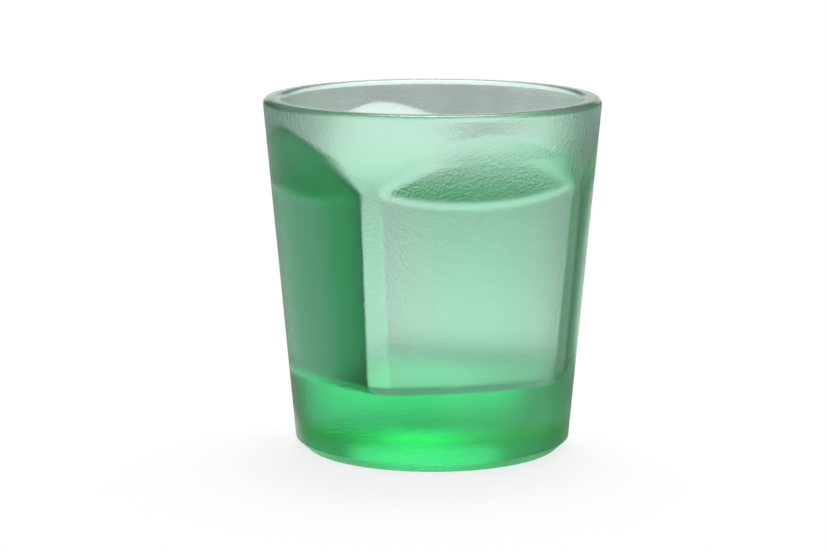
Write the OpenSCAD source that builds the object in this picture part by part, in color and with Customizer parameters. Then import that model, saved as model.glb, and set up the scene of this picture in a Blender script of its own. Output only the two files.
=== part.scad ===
// Short drinking tumbler of satin green glass, pressed in one piece.
// Outside it is a plain round taper. Inside, four sloping shoulders lead from the round
// wall in to four flats, which make a square well. Between the flats the round wall runs
// on down to the floor as a narrow strip at each corner. The thick base is solid glass.
// Millimetres. The origin is the centre of the underside, with +Z up.

/* [Outside] */
// Diameter across the rim, before its edge is rounded
top_d = 84; // [78:1:92]
// Diameter that the tapered side would have on the table, before its heel is bevelled
base_d = 68; // [64:1:74]
// Height from the table to the top of the lip
height = 88; // [82:1:100]

/* [Heel] */
// Height of the bevel between the side and the underside
heel_h = 2.8; // [2:0.2:4]
// Level width of that bevel on the table
heel_w = 2.8; // [2:0.2:3.8]
// Radius of the rounded edge between the bevel and the underside
heel_foot_r = 2; // [1:0.2:3]
// Radius of the edge between the bevel and the side
heel_arris_r = 0.4; // [0.2:0.1:0.8]

/* [Round wall and lip] */
// Thickness of the round wall, measured level
wall_t = 4.6; // [4:0.2:5.6]
// Radius of the outer edge of the lip
lip_outer_r = 1.6; // [0.8:0.2:2]
// Radius of the inner edge of the lip
lip_inner_r = 1.4; // [0.8:0.2:1.8]

/* [Square well] */
// Width of the well across its flats, at the foot of the shoulders
well_top_w = 53.4; // [50:0.2:55]
// Width of the well across its flats at the floor
well_floor_w = 47.6; // [44:0.2:49]
// Thickness of the solid glass under the floor of the well
floor_t = 18.8; // [14:0.2:26]
// Height and level width of the bevel round the floor
floor_bevel = 2; // [1:0.2:3]

/* [Shoulders] */
// Depth of a shoulder's foot below the lip, at the middle of its flat
foot_depth = 22.6; // [19:0.2:27]
// Depth below the lip of the top of the arch that a shoulder cuts in the round wall
arch_depth = 9; // [6:0.5:12]
// Radius to which a shoulder is hollowed across its flat, level, at its foot
shoulder_hollow_r = 140; // [75:5:200]

/* [Underside] */
// Diameter of the shallow hollow under the base, at the table
hollow_d = 50; // [44:1:54]
// Depth of that hollow
hollow_depth = 0.8; // [0.4:0.1:1.4]
// Level width of the slope between the table and the top of the hollow
hollow_slope_w = 4; // [2:0.5:6]

/* [Hidden] */
$fn = 96;

// How far each cutting shape runs past the face that it cuts
overrun = 1;

top_r = top_d / 2;
base_r = base_d / 2;
bevel_z = floor_t + floor_bevel;
foot_z = height - foot_depth;
arch_z = height - arch_depth;

// Outer and inner radius of the round wall at height z
function outer_r(z) = base_r + (top_r - base_r) * z / height;
function inner_r(z) = outer_r(z) - wall_t;

// Half width of the square well at height z
function flat_x(z) = (well_floor_w + (well_top_w - well_floor_w) * (z - floor_t) / (foot_z - floor_t)) / 2;

// How far a shoulder leans out for each step up, so that its arch ends at arch_z
shoulder_lean = (inner_r(arch_z) - flat_x(foot_z)) / (arch_z - foot_z);

function toward(from, to) = (to - from) / norm(to - from);

// Half of the corner's angle at p, between its neighbours a and b
function half_angle(a, p, b) = acos(toward(p, a) * toward(p, b)) / 2;

// Where a round of radius r touches the side from p to q, for half angle h
function touch(p, q, r, h) = p + toward(p, q) * r / tan(h);

// Centre of the round of radius r in the corner at p
function round_centre(a, p, b, r) =
    p + toward([0, 0], toward(p, a) + toward(p, b)) * r / sin(half_angle(a, p, b));

// A flat outline whose corners are [point, radius] and all stick out. The radius is zero
// where a corner stays sharp. A circle fills each corner that is cut back to its touches.
module rounded_outline(corners) {
    n = len(corners);
    function before(i) = corners[(i + n - 1) % n][0];
    function after(i) = corners[(i + 1) % n][0];
    cut_points = [
        for (i = [0 : n - 1])
            let (p = corners[i][0], r = corners[i][1], a = before(i), b = after(i))
            each r == 0 ? [p] : [touch(p, a, r, half_angle(a, p, b)), touch(p, b, r, half_angle(a, p, b))]
    ];
    polygon(cut_points);
    for (i = [0 : n - 1])
        if (corners[i][1] > 0)
            translate(round_centre(before(i), corners[i][0], after(i), corners[i][1]))
                circle(r = corners[i][1]);
}

// Half section of the glass with its round mouth, solid from the arches down
module round_section() {
    solid_z = arch_z + overrun;
    rounded_outline([
        [[0, 0], 0],
        [[base_r - heel_w, 0], heel_foot_r],
        [[outer_r(heel_h), heel_h], heel_arris_r],
        [[top_r, height], lip_outer_r],
        [[top_r - wall_t, height], lip_inner_r],
        [[inner_r(solid_z), solid_z], 0],
        [[0, solid_z], 0]
    ]);
}

// Section of the well across its flats, with a bevelled floor
module flat_section() {
    top_z = arch_z + 2 * overrun;
    floor_x = flat_x(floor_t) - floor_bevel;
    polygon([
        [-floor_x, floor_t],
        [floor_x, floor_t],
        [flat_x(bevel_z), bevel_z],
        [flat_x(top_z), top_z],
        [-flat_x(top_z), top_z],
        [-flat_x(bevel_z), bevel_z]
    ]);
}

module flats() {
    intersection() {
        rotate([90, 0, 0]) linear_extrude(top_d, center = true) flat_section();
        rotate([90, 0, 90]) linear_extrude(top_d, center = true) flat_section();
    }
}

// Each shoulder is the inside of a wide cone whose axis stands far behind the far wall
module shoulders() {
    low_z = foot_z - overrun;
    high_z = arch_z + 2 * overrun;
    intersection_for (side = [0 : 3])
        rotate([0, 0, 90 * side])
            translate([flat_x(foot_z) - shoulder_hollow_r, 0, low_z])
                cylinder(
                    h = high_z - low_z,
                    r1 = shoulder_hollow_r + shoulder_lean * (low_z - foot_z),
                    r2 = shoulder_hollow_r + shoulder_lean * (high_z - foot_z)
                );
}

// The inside of the round wall, from below the floor's bevel to above the arches
module round_inside() {
    low_z = floor_t - overrun;
    high_z = arch_z + 2 * overrun;
    rotate_extrude()
        polygon([
            [0, low_z],
            [inner_r(floor_t) - floor_bevel - overrun, low_z],
            [inner_r(bevel_z), bevel_z],
            [inner_r(high_z), high_z],
            [0, high_z]
        ]);
}

module square_well() {
    intersection() {
        round_inside();
        union() {
            flats();
            shoulders();
        }
    }
}

module foot_hollow() {
    hollow_r = hollow_d / 2;
    slope_share = hollow_slope_w / hollow_depth;
    translate([0, 0, -overrun])
        cylinder(
            h = hollow_depth + overrun,
            r1 = hollow_r + overrun * slope_share,
            r2 = hollow_r - hollow_slope_w
        );
}

module tumbler() {
    color([0.2, 0.75, 0.45])
        difference() {
            rotate_extrude() round_section();
            square_well();
            foot_hollow();
        }
}

tumbler();
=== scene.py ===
"""A short drinking tumbler of satin green glass, pressed in one piece.

It is round outside and round at the mouth. Inside, four sloping shoulders lead from the
round wall in to four flats, which make a square well, and between the flats the round
wall runs on down as a narrow strip at each corner. The thick base is solid glass.
All lengths are in metres and all angles in radians, unless a comment says otherwise.
"""

import math

import bpy
import numpy as np
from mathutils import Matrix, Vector


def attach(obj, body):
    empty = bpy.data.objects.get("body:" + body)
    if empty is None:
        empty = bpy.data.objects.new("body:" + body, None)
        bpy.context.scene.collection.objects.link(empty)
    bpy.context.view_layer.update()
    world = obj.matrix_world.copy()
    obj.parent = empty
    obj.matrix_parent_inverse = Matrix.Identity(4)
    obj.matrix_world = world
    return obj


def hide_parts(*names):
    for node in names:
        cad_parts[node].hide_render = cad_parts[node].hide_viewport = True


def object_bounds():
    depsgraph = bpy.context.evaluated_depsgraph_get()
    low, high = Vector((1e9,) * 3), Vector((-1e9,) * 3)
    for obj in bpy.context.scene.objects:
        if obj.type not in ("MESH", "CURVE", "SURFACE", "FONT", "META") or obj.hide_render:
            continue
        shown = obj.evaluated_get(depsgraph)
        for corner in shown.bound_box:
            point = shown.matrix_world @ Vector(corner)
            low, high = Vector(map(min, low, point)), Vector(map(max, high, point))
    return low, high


MM = 0.001

# Outside of the glass
TOP_R = 42 * MM
BASE_R = 34 * MM
HEEL_H = 2.8 * MM
HEEL_W = 2.8 * MM
HEEL_ARRIS_R = 0.4 * MM
HEEL_FOOT_R = 2 * MM

# Round wall and lip
WALL_T = 4.6 * MM
LIP_OUTER_R = 1.6 * MM
LIP_INNER_R = 1.4 * MM

# Square well, from its floor up to the foot of the shoulders
SHOULDER_Z = 65.4 * MM
WELL_TOP_X = 26.7 * MM
WELL_FLOOR_X = 23.8 * MM
FLOOR_T = 18.8 * MM
FLOOR_BEVEL = 2 * MM
FLOOR_BEVEL_SOFTNESS = 0.5 * MM

# Shoulders: where one leaves the round wall, its hollow across the flat, and the power by
# which it bends on its way down, where 1 is straight
SHOULDER_TOP_Z = 83 * MM
SHOULDER_HOLLOW_R = 140 * MM
SHOULDER_BEND = 1.3

# Widths over which edges inside the glass are rounded off: the line at a shoulder's foot,
# the well's corners, and the tops of the arches. An arch's foot has the given share of the
# step between the last two, and the least one stands where there is no edge.
CREASE_SOFTNESS = 1.0 * MM
CORNER_SOFTNESS = 0.4 * MM
ARCH_SOFTNESS = 3.5 * MM
ARCH_FOOT_SHARE = 0.1
LEAST_SOFTNESS = 0.001 * MM

# Hollow of the underside, and the radius that rounds the edges of its slope
HOLLOW_R = 25 * MM
HOLLOW_DEPTH = 0.8 * MM
HOLLOW_SLOPE_W = 4 * MM
HOLLOW_EDGE_R = 3 * MM

# Etched surface: its lowest and highest roughness, the noise of its patches, and the noise
# and depth of its grain. Most of a noise's values lie between the two of NOISE_REACH.
FROST = (0.21, 0.27)
PATCH_SCALE = 120
PATCH_DETAIL = 4
PATCH_ROUGHNESS = 0.65
NOISE_REACH = (0.3, 0.7)
GRAIN_SCALE = 1700
GRAIN_DEPTH = 0.06 * MM
GRAIN_DETAIL = 1

# Glass: its refraction, its colour through its depth, and how fast that sets in per metre
GLASS_IOR = 1.5
TINT = (0.04, 0.95, 0.53, 1)
TINT_DENSITY = 40

# Softboxes: radiance, where 1 is white paper, then place and aim as metres to the right,
# beyond and above the glass as the camera sees it, size, and spread in degrees
ABOVE = (1.5, (0.04, 0.2, 0.5), (0.03, 0.1, 0), (0.3, 0.3), 70)
BEHIND = (1.4, (0.03, 0.65, 0.15), (0, 0, 0.05), (0.5, 0.16), 180)

# World: dim near the horizon, rising to the dome's radiance between these two elevations in
# degrees
SURROUNDINGS = 0.07
DOME = 0.75
DOME_RISE = (12, 35)

# Air between the underside and the floor, so that the two faces don't coincide
FLOOR_GAP = 0.05 * MM

# White floor, whose half width is FLOOR_SIZE. Close to the glass the camera sees a share of
# its own shading, which fades out at SHADOW_R from the axis, and beyond that plain white.
FLOOR_SIZE = 4
FLOOR_WHITE = 0.9
FLOOR_ROUGHNESS = 0.9
SHADOW_R = 0.12
SHADOW_INNER = 0.2
SHADOW_SHARE = 0.25

# The floor by way of glass or gloss, painted light and shade: a painted white glow behind the
# glass and at the right in front of it, a little less under it as painted shade under the foot,
# and a dim level elsewhere as painted shade. Centres and half sizes are to the right and beyond
# as the camera sees them, and a spot starts to fade at the inner share of its size.
PAINTED_SHADE_FLOOR = 0.37
PAINTED_GLOW_BEHIND_CENTRE = (0.04, 0.28)
PAINTED_GLOW_BEHIND_SIZE = (0.15, 0.22)
PAINTED_GLOW_FRONT_CENTRE = (0.11, -0.1)
PAINTED_GLOW_FRONT_SIZE = (0.12, 0.12)
PAINTED_GLOW_INNER = 0.8
PAINTED_GLOW_UNDER = 0.85
PAINTED_GLOW_UNDER_CENTRE = (-0.015, 0.02)
PAINTED_GLOW_UNDER_R = 0.045
PAINTED_GLOW_UNDER_INNER = 0.6

# Camera: how far from the axis and how high it stands, its turns down and aside in radians,
# and its film and lens in millimetres
CAMERA_DISTANCE = 17.884 * TOP_R
CAMERA_HEIGHT = 4.104 * TOP_R
CAMERA_TILT = 0.1706
CAMERA_PAN = 0.0064
CAMERA_FILM = 36
CAMERA_LENS = 133.08
CAMERA_CLIP = (0.05, 20)

# Direction that the camera looks from, about the axis
AROUND = math.radians(-21.5)

# Mesh: steps round the glass and how much closer together they are at the well's corners,
# steps in an outside arc, length of a straight run's steps, and radius of the first ring
TURN_STEPS = 512
CORNER_CROWDING = 0.6
ARC_STEPS = 9
RUN_STEP = 3 * MM
FIRST_RING_R = 0.4 * MM

# Mesh inside: depth below the lip where it starts, how far the close rings of the shoulders
# and of the floor's bevel reach past them, and the rings in each stretch, both ends counted
INSIDE_START = 3 * MM
SHOULDER_REACH = 3 * MM
BEVEL_REACH = 1 * MM
LIP_RINGS = 4
SHOULDER_RINGS = 53
FLAT_RINGS = 18
BEVEL_RINGS = 14
FLOOR_RINGS = 12

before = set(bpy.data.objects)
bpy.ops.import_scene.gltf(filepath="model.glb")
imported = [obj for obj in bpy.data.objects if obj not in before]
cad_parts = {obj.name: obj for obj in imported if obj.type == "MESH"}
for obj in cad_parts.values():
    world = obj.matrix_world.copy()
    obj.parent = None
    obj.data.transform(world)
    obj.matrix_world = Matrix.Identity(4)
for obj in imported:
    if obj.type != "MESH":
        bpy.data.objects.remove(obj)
cad_low, cad_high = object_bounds()
HEIGHT = cad_high.z


def outer_radius(z):
    """Radius of the tapered outside, which grows evenly from the table to the lip."""
    return BASE_R + (TOP_R - BASE_R) * z / HEIGHT


def mouth_radius(z):
    """Radius of the round inside: the outside's radius less the wall."""
    return outer_radius(z) - WALL_T


def well_half_width(z):
    """Distance of the well's flats from the axis, which grows evenly with height."""
    share = (z - FLOOR_T) / (SHOULDER_Z - FLOOR_T)
    return WELL_FLOOR_X + (WELL_TOP_X - WELL_FLOOR_X) * share


def smaller_of(a, b, softness):
    """The lower of two values, with a parabola taken off where they cross. The parabola
    reaches to where they differ by the softness, and is a quarter of that high."""
    share = np.clip(0.5 + 0.5 * (b - a) / softness, 0, 1)
    return b + (a - b) * share - softness * share * (1 - share)


def turn_angles():
    """Even steps round the axis, plus a sine wave of four periods that crowds them
    together at the four corners of the well."""
    even = np.arange(TURN_STEPS) * 2 * np.pi / TURN_STEPS
    return even + CORNER_CROWDING / 4 * np.sin(4 * even)


def well_radius(turn, z):
    """Radius of the inside in each direction. A flat's is its distance from the axis over the
    cosine of the angle from its normal. A shoulder stands in from the round wall by a step,
    which is the whole way to the flat at its foot, and above that this way times the share of
    the drop to the power SHOULDER_BEND. A parabola across the flat draws the shoulder in at
    its sides, and its radius solves that quadratic. The greater of the two counts, up to the
    radius of the round wall, and the edge of the shoulder's arch is softened more toward its
    top. Flats and round wall draw in at the floor by a bevel of equal height and width."""
    from_normal = (turn + np.pi / 4) % (np.pi / 2) - np.pi / 4
    along, across = np.cos(from_normal), np.sin(from_normal)
    bevel = -smaller_of(z - FLOOR_T - FLOOR_BEVEL, np.zeros_like(z), FLOOR_BEVEL_SOFTNESS)
    flat = (well_half_width(z) - bevel) / along
    drop = np.maximum(SHOULDER_TOP_Z - z, 0) / (SHOULDER_TOP_Z - SHOULDER_Z)
    step = (mouth_radius(SHOULDER_Z) - WELL_TOP_X) * drop**SHOULDER_BEND
    out = mouth_radius(z) - step
    root = np.sqrt(np.maximum(along**2 + 2 * out * across**2 / SHOULDER_HOLLOW_R, 0))
    shoulder = 2 * out / (along + root)
    inner = -smaller_of(-flat, -shoulder, CREASE_SOFTNESS)
    up_arch = np.clip(1 + ARCH_FOOT_SHARE - drop, 0, 1)
    softness = CORNER_SOFTNESS + (ARCH_SOFTNESS - CORNER_SOFTNESS) * up_arch
    softness = np.clip(softness, LEAST_SOFTNESS, step + LEAST_SOFTNESS)
    return smaller_of(inner, mouth_radius(z) - bevel, softness)


def rounded_profile(corners, radii, arc_steps, run_step):
    """Points along an open outline, with an arc in each inner corner. An arc's centre lies
    on the corner's bisector, at the radius over the sine of half the angle, and its points
    are the two ends weighted by the sines of the turn to the other end. Straight runs
    between arcs are cut into equal steps near run_step."""
    corners = np.array(corners)
    pieces = [corners[:1]]
    for before, corner, after, radius in zip(corners, corners[1:], corners[2:], radii):
        back = (before - corner) / np.linalg.norm(before - corner)
        on = (after - corner) / np.linalg.norm(after - corner)
        half = math.acos(float(back @ on)) / 2
        bisector = (back + on) / np.linalg.norm(back + on)
        centre = corner + bisector * radius / math.sin(half)
        start = corner + back * radius / math.tan(half) - centre
        end = corner + on * radius / math.tan(half) - centre
        sweep = math.pi - 2 * half
        share = np.linspace(0, 1, arc_steps + 1)[:, None]
        arc = np.sin((1 - share) * sweep) * start + np.sin(share * sweep) * end
        pieces.append(centre + arc / math.sin(sweep))
    pieces.append(corners[-1:])
    runs = []
    for piece, following in zip(pieces, pieces[1:]):
        runs.append(piece)
        gap = np.linalg.norm(following[0] - piece[-1])
        steps = max(1, int(round(gap / run_step)))
        share = np.arange(1, steps)[:, None] / steps
        runs.append(piece[-1] + (following[0] - piece[-1]) * share)
    runs.append(pieces[-1])
    return np.concatenate(runs)


def outside_rows(turn):
    """Rings from the middle of the underside, out over its hollow, up the side and over the
    lip to the start of the mouth: one outline in radius and height, turned about the axis."""
    mouth_start_z = HEIGHT - INSIDE_START
    outline = rounded_profile(
        [
            (FIRST_RING_R, HOLLOW_DEPTH),
            (HOLLOW_R - HOLLOW_SLOPE_W, HOLLOW_DEPTH),
            (HOLLOW_R, 0),
            (BASE_R - HEEL_W, 0),
            (outer_radius(HEEL_H), HEEL_H),
            (TOP_R, HEIGHT),
            (TOP_R - WALL_T, HEIGHT),
            (mouth_radius(mouth_start_z), mouth_start_z),
        ],
        [HOLLOW_EDGE_R, HOLLOW_EDGE_R, HEEL_FOOT_R, HEEL_ARRIS_R, LIP_OUTER_R, LIP_INNER_R],
        ARC_STEPS,
        RUN_STEP,
    )
    radius = np.repeat(outline[:, :1], len(turn), axis=1)
    z = np.repeat(outline[:, 1:], len(turn), axis=1)
    return radius, z


def inside_rows(turn):
    """Rings from the lip down the inside and in over its floor. Down the walls a ring is
    level, with the radius of the well in each direction."""
    flats_top_z = SHOULDER_Z - SHOULDER_REACH
    bevel_top_z = FLOOR_T + FLOOR_BEVEL + BEVEL_REACH
    wall_z = np.concatenate([
        np.linspace(HEIGHT - INSIDE_START, SHOULDER_TOP_Z, LIP_RINGS)[1:-1],
        np.linspace(SHOULDER_TOP_Z, flats_top_z, SHOULDER_RINGS)[:-1],
        np.linspace(flats_top_z, bevel_top_z, FLAT_RINGS)[:-1],
        np.linspace(bevel_top_z, FLOOR_T, BEVEL_RINGS),
    ])[:, None]
    wall_rows = well_radius(turn, wall_z)
    floor_rows = wall_rows[-1] * np.linspace(1, 0, FLOOR_RINGS)[1:-1, None]
    floor_z = np.full((len(floor_rows), 1), FLOOR_T)
    radius = np.concatenate([wall_rows, floor_rows])
    z = np.concatenate([wall_z, floor_z])
    return radius, np.repeat(z, len(turn), axis=1)


def closed_turning(name, turn, radius, z):
    """A closed mesh from rings of points. Each ring joins the next with quads whose faces
    point away from the solid, and a fan closes each end at the axis."""
    rings, steps = radius.shape
    points = np.stack([radius * np.cos(turn), radius * np.sin(turn), z], axis=-1).reshape(-1, 3)
    ends = np.array([(0, 0, z[0, 0]), (0, 0, z[-1, 0])])
    index = np.arange(rings * steps).reshape(rings, steps)
    after = np.roll(index, -1, axis=1)
    quads = np.stack([index[:-1], after[:-1], after[1:], index[1:]], axis=-1).reshape(-1, 4)
    first = np.stack([np.full(steps, rings * steps), after[0], index[0]], axis=-1)
    last = np.stack([np.full(steps, rings * steps + 1), index[-1], after[-1]], axis=-1)
    mesh = bpy.data.meshes.new(name)
    mesh.from_pydata(
        np.concatenate([points, ends]).tolist(),
        [],
        quads.tolist() + first.tolist() + last.tolist(),
    )
    mesh.shade_smooth()
    mesh.validate()
    piece = bpy.data.objects.new(name, mesh)
    bpy.context.scene.collection.objects.link(piece)
    return piece


def satin_green_glass():
    """Green glass, coloured through, with an etched surface: an even frost with slightly
    smoother and rougher patches, and a fine leathery grain."""
    material = bpy.data.materials.new("satin_green_glass")
    material.use_nodes = True
    nodes, links = material.node_tree.nodes, material.node_tree.links
    shader = nodes["Principled BSDF"]
    shader.inputs["Base Color"].default_value = (1, 1, 1, 1)
    shader.inputs["Transmission Weight"].default_value = 1
    shader.inputs["IOR"].default_value = GLASS_IOR
    place = nodes.new("ShaderNodeTexCoord")
    patches = nodes.new("ShaderNodeTexNoise")
    patches.inputs["Scale"].default_value = PATCH_SCALE
    patches.inputs["Detail"].default_value = PATCH_DETAIL
    patches.inputs["Roughness"].default_value = PATCH_ROUGHNESS
    frost = nodes.new("ShaderNodeMapRange")
    frost.inputs["From Min"].default_value = NOISE_REACH[0]
    frost.inputs["From Max"].default_value = NOISE_REACH[1]
    frost.inputs["To Min"].default_value = FROST[0]
    frost.inputs["To Max"].default_value = FROST[1]
    grain = nodes.new("ShaderNodeTexNoise")
    grain.inputs["Scale"].default_value = GRAIN_SCALE
    grain.inputs["Detail"].default_value = GRAIN_DETAIL
    bump = nodes.new("ShaderNodeBump")
    bump.inputs["Strength"].default_value = 1
    bump.inputs["Distance"].default_value = GRAIN_DEPTH
    links.new(place.outputs["Object"], patches.inputs["Vector"])
    links.new(patches.outputs["Fac"], frost.inputs["Value"])
    links.new(frost.outputs["Result"], shader.inputs["Roughness"])
    links.new(place.outputs["Object"], grain.inputs["Vector"])
    links.new(grain.outputs["Fac"], bump.inputs["Height"])
    links.new(bump.outputs["Normal"], shader.inputs["Normal"])
    tint = nodes.new("ShaderNodeVolumeAbsorption")
    tint.inputs["Color"].default_value = TINT
    tint.inputs["Density"].default_value = TINT_DENSITY
    links.new(tint.outputs["Volume"], nodes["Material Output"].inputs["Volume"])
    return material


def make_tumbler():
    """The glass: outside and inside rings joined into one closed surface."""
    turn = turn_angles()
    outside, inside = outside_rows(turn), inside_rows(turn)
    radius = np.concatenate([outside[0], inside[0]])
    z = np.concatenate([outside[1], inside[1]])
    piece = closed_turning("satin_tumbler", turn, radius, z)
    piece.data.materials.append(satin_green_glass())
    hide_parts("tumbler")
    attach(piece, "root")


def camera_frame(right, forward, up):
    """A point given as metres to the right, beyond and above the glass, as the camera sees it."""
    return Vector((
        right * math.cos(AROUND) - forward * math.sin(AROUND),
        right * math.sin(AROUND) + forward * math.cos(AROUND),
        up,
    ))


def add_math(tree, operation, a, b):
    """A Math node on two values or sockets."""
    node = tree.nodes.new("ShaderNodeMath")
    node.operation = operation
    for socket, value in zip(node.inputs, (a, b)):
        if isinstance(value, (int, float)):
            socket.default_value = value
        else:
            tree.links.new(value, socket)
    return node.outputs["Value"]


def soft_spot(tree, centre, half_sizes, inner):
    """A soft round spot on the floor, stretched to the half sizes across and along the
    photograph's direction of view. It is one within the inner share of its radius, and zero
    from its edge on."""
    place = tree.nodes.new("ShaderNodeTexCoord")
    turned = tree.nodes.new("ShaderNodeMapping")
    turned.vector_type = "TEXTURE"
    turned.inputs["Location"].default_value = camera_frame(centre[0], centre[1], 0)
    turned.inputs["Rotation"].default_value = (0, 0, AROUND)
    turned.inputs["Scale"].default_value = (half_sizes[0], half_sizes[1], 1)
    tree.links.new(place.outputs["Object"], turned.inputs["Vector"])
    distance = tree.nodes.new("ShaderNodeVectorMath")
    distance.operation = "LENGTH"
    tree.links.new(turned.outputs["Vector"], distance.inputs[0])
    fade = tree.nodes.new("ShaderNodeMapRange")
    fade.interpolation_type = "SMOOTHSTEP"
    fade.inputs["From Min"].default_value = inner
    fade.inputs["From Max"].default_value = 1
    fade.inputs["To Min"].default_value = 1
    fade.inputs["To Max"].default_value = 0
    tree.links.new(distance.outputs["Value"], fade.inputs["Value"])
    return fade.outputs["Result"]


def make_floor():
    """A wide white floor. Near the glass the camera sees part of its shading, which holds the
    glass's shadow, and further out the plain white backdrop. Rays by way of glass or gloss see
    painted light and shade on it: a painted white glow behind, under and in front of the glass,
    and a dim level elsewhere that is painted shade."""
    mesh = bpy.data.meshes.new("floor")
    corners = [(-1, -1), (1, -1), (1, 1), (-1, 1)]
    points = [(x * FLOOR_SIZE, y * FLOOR_SIZE, -FLOOR_GAP) for x, y in corners]
    mesh.from_pydata(points, [], [(0, 1, 2, 3)])
    floor = bpy.data.objects.new("floor", mesh)
    bpy.context.scene.collection.objects.link(floor)
    material = bpy.data.materials.new("white_floor_painted_glow")
    material.use_nodes = True
    tree = material.node_tree
    lit = tree.nodes["Principled BSDF"]
    lit.inputs["Base Color"].default_value = (FLOOR_WHITE, FLOOR_WHITE, FLOOR_WHITE, 1)
    lit.inputs["Roughness"].default_value = FLOOR_ROUGHNESS
    plain = tree.nodes.new("ShaderNodeEmission")
    path = tree.nodes.new("ShaderNodeLightPath")
    by_camera, by_gloss, by_glass = (
        path.outputs[name] for name in ("Is Camera Ray", "Is Glossy Ray", "Is Transmission Ray")
    )

    near = soft_spot(tree, (0, 0), (SHADOW_R, SHADOW_R), SHADOW_INNER)
    away = add_math(tree, "SUBTRACT", 1, add_math(tree, "MULTIPLY", near, SHADOW_SHARE))
    seen = add_math(tree, "MULTIPLY", by_camera, away)
    through = add_math(tree, "MAXIMUM", by_gloss, by_glass)
    share = add_math(tree, "MAXIMUM", seen, through)

    # Painted light for rays by way of glass or gloss: the floor glows white in spots behind and
    # in front of the glass, somewhat less under it as painted shade, and dim elsewhere as painted
    # shade.
    behind = soft_spot(tree, PAINTED_GLOW_BEHIND_CENTRE, PAINTED_GLOW_BEHIND_SIZE, PAINTED_GLOW_INNER)
    in_front = soft_spot(tree, PAINTED_GLOW_FRONT_CENTRE, PAINTED_GLOW_FRONT_SIZE, PAINTED_GLOW_INNER)
    below = soft_spot(tree, PAINTED_GLOW_UNDER_CENTRE, (PAINTED_GLOW_UNDER_R, PAINTED_GLOW_UNDER_R), PAINTED_GLOW_UNDER_INNER)
    white = add_math(tree, "MAXIMUM", behind, in_front)
    white = add_math(tree, "MAXIMUM", white, add_math(tree, "MULTIPLY", below, PAINTED_GLOW_UNDER))
    white = add_math(tree, "MAXIMUM", white, PAINTED_SHADE_FLOOR)
    tree.links.new(add_math(tree, "MAXIMUM", by_camera, white), plain.inputs["Strength"])

    mix = tree.nodes.new("ShaderNodeMixShader")
    tree.links.new(share, mix.inputs["Fac"])
    tree.links.new(lit.outputs["BSDF"], mix.inputs[1])
    tree.links.new(plain.outputs["Emission"], mix.inputs[2])
    tree.links.new(mix.outputs["Shader"], tree.nodes["Material Output"].inputs["Surface"])
    mesh.materials.append(material)


def add_softbox(name, radiance, place, aim, size, spread):
    """A soft rectangular lamp that faces a point, with a grid that narrows its spread. Its
    energy is its radiance times pi times its area."""
    lamp = bpy.data.lights.new(name, "AREA")
    lamp.shape = "RECTANGLE"
    lamp.size, lamp.size_y = size
    lamp.spread = math.radians(spread)
    lamp.energy = radiance * math.pi * size[0] * size[1]
    box = bpy.data.objects.new(name, lamp)
    box.location = camera_frame(*place)
    box.rotation_mode = "QUATERNION"
    box.rotation_quaternion = (camera_frame(*place) - camera_frame(*aim)).to_track_quat("Z", "Y")
    bpy.context.scene.collection.objects.link(box)


def make_light():
    """A soft dome that dims toward the horizon, a softbox over the glass and a low, wide one
    behind it. The camera would see the world as plain white."""
    world = bpy.data.worlds.new("studio")
    bpy.context.scene.world = world
    world.use_nodes = True
    tree = world.node_tree
    background = tree.nodes["Background"]
    background.inputs["Color"].default_value = (1, 1, 1, 1)
    path = tree.nodes.new("ShaderNodeLightPath")
    direction = tree.nodes.new("ShaderNodeTexCoord")
    parts = tree.nodes.new("ShaderNodeSeparateXYZ")
    tree.links.new(direction.outputs["Generated"], parts.inputs["Vector"])
    dome = tree.nodes.new("ShaderNodeMapRange")
    dome.interpolation_type = "SMOOTHSTEP"
    dome.inputs["From Min"].default_value = math.sin(math.radians(DOME_RISE[0]))
    dome.inputs["From Max"].default_value = math.sin(math.radians(DOME_RISE[1]))
    dome.inputs["To Min"].default_value = SURROUNDINGS
    dome.inputs["To Max"].default_value = DOME
    tree.links.new(parts.outputs["Z"], dome.inputs["Value"])
    shown = add_math(tree, "MAXIMUM", path.outputs["Is Camera Ray"], dome.outputs["Result"])
    tree.links.new(shown, background.inputs["Strength"])
    add_softbox("softbox_above", *ABOVE)
    add_softbox("softbox_behind", *BEHIND)


def make_camera():
    """The photograph's view: from above and to the left of one flat of the well."""
    camera = bpy.data.objects.new("camera", bpy.data.cameras.new("camera"))
    bpy.context.scene.collection.objects.link(camera)
    camera.location = camera_frame(0, -CAMERA_DISTANCE, CAMERA_HEIGHT)
    camera.rotation_mode = "XYZ"
    camera.rotation_euler = (math.pi / 2 - CAMERA_TILT, 0, AROUND + CAMERA_PAN)
    camera.data.sensor_width = CAMERA_FILM
    camera.data.lens = CAMERA_LENS
    camera.data.clip_start, camera.data.clip_end = CAMERA_CLIP
    bpy.context.scene.camera = camera


make_tumbler()
make_floor()
make_light()
make_camera()
bpy.context.scene.view_settings.view_transform = "Standard"
